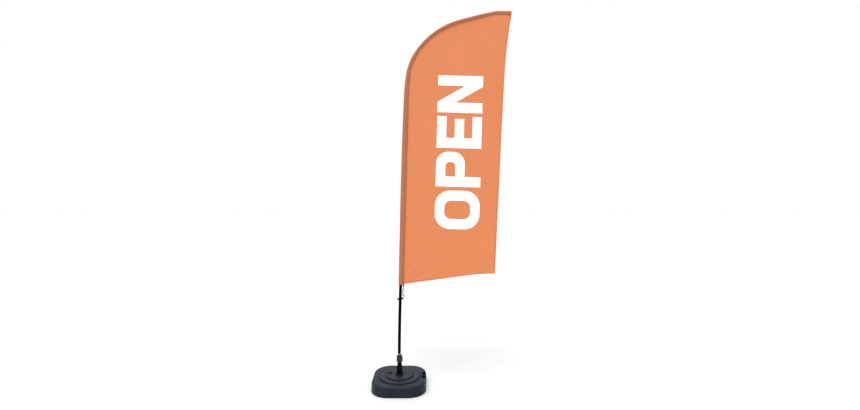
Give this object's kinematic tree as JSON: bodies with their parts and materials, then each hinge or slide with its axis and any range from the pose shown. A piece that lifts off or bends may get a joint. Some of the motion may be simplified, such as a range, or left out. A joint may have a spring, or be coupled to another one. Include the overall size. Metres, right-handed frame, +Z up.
{
  "type": "feather flag",
  "caption": "Free-standing feather flag: cloth panel with a pole sleeve on a bent mast that turns on a spindle, clamped in a square water-fillable base.",
  "frame": {"origin": "centre of the tank's underside, on the ground and on the post's axis", "axes": "+Z up along the spindle; +X towards the flag's free edge; the flag lies in the XZ plane and is read from -Y"},
  "size_m": [1.1417, 0.4396, 3.0919],
  "materials": {
    "tank_plastic": "fine-textured blow-moulded polyethylene",
    "post_plastic": "injection-moulded black plastic",
    "nut_plastic": "dark grey-brown moulded plastic",
    "cap_plastic": "ribbed black plastic",
    "rubber": "black rubber",
    "steel": "turned zinc-plated steel",
    "bearing_steel": "ground steel",
    "black_aluminium": "black anodised drawn tube",
    "fibreglass": "pultruded fibreglass rod, black",
    "hook_steel": "nickel-plated wire",
    "flag_cloth": "printed knitted polyester",
    "sleeve_cloth": "knitted polyester sleeve over the dark pole",
    "webbing": "black woven webbing and elastic"
  },
  "bodies": {
    "base": {"water_tank": "tank_plastic", "pole_post": "post_plastic", "post_gasket": "rubber", "bearing_housing": "steel", "outer_races": "bearing_steel", "race_spacer": "steel", "housing_circlip": "steel"},
    "seal": {"cap_seal": "rubber"},
    "cap": {"filler_cap": "cap_plastic"},
    "vent": {"vent_plug": "rubber"},
    "washer": {"slip_washer": "steel"},
    "nut": {"clamp_nut": "nut_plastic"},
    "rotor": {"spindle_pin": "steel", "inner_races": "bearing_steel", "bearing_balls": "bearing_steel", "pin_circlip": "steel"},
    "mast": {"foot_bush": "post_plastic", "rest_plug": "post_plastic", "lower_tube": "black_aluminium", "lower_reducer": "post_plastic", "middle_tube": "black_aluminium", "upper_reducer": "post_plastic", "upper_rod": "fibreglass", "rod_ferrule": "black_aluminium", "tip_rod": "fibreglass", "tip_cap": "post_plastic", "pole_sleeve": "sleeve_cloth", "tip_pocket": "sleeve_cloth", "flag_panel": "flag_cloth", "corner_tab": "webbing", "elastic_loop": "webbing", "loop_crimp": "hook_steel"},
    "ring": {"tension_ring": "post_plastic", "snap_hook": "hook_steel", "gate_pin": "hook_steel"},
    "gate": {"hook_gate": "hook_steel"}
  },
  "joints": [
    {"name": "rotor_spin", "type": "hinge", "parent": "base", "child": "rotor", "pos_m": [0, 0, 0.228], "axis": [0, 0, 1], "continuous": true},
    {"name": "mast_lift", "type": "slide", "parent": "rotor", "child": "mast", "axis": [0, 0, 1], "range_m": [0, 0.13]},
    {"name": "cap_turn", "type": "hinge", "parent": "seal", "child": "cap", "pos_m": [0.203, 0.011, 0.07], "axis": [0, 0, 1], "range_deg": [0, 900]},
    {"name": "cap_rise", "type": "slide", "parent": "base", "child": "seal", "axis": [0, 0, 1], "range_m": [0, 0.01001]},
    {"name": "vent_pull", "type": "slide", "parent": "base", "child": "vent", "axis": [0, 0, 1], "range_m": [0, 0.03]},
    {"name": "nut_turn", "type": "hinge", "parent": "washer", "child": "nut", "pos_m": [0, 0, 0.22], "axis": [0, 0, 1], "range_deg": [0, 900]},
    {"name": "nut_rise", "type": "slide", "parent": "base", "child": "washer", "axis": [0, 0, 1], "range_m": [0, 0.00751]},
    {"name": "ring_slide", "type": "slide", "parent": "mast", "child": "ring", "axis": [-0.0274, 0, -0.9996], "range_m": [0, 0.03], "deforming": ["elastic_loop"]},
    {"name": "gate_swing", "type": "hinge", "parent": "ring", "child": "gate", "pos_m": [0.0255, 0, 0.788], "axis": [0, -1, 0], "range_deg": [0, 13], "stiffness_Nm_per_rad": 0.02}
  ],
  "couplings": [
    {"joint": "cap_rise", "follows": "cap_turn", "m_per_rad": 0.00063662},
    {"joint": "nut_rise", "follows": "nut_turn", "m_per_rad": 0.00047746}
  ]
}
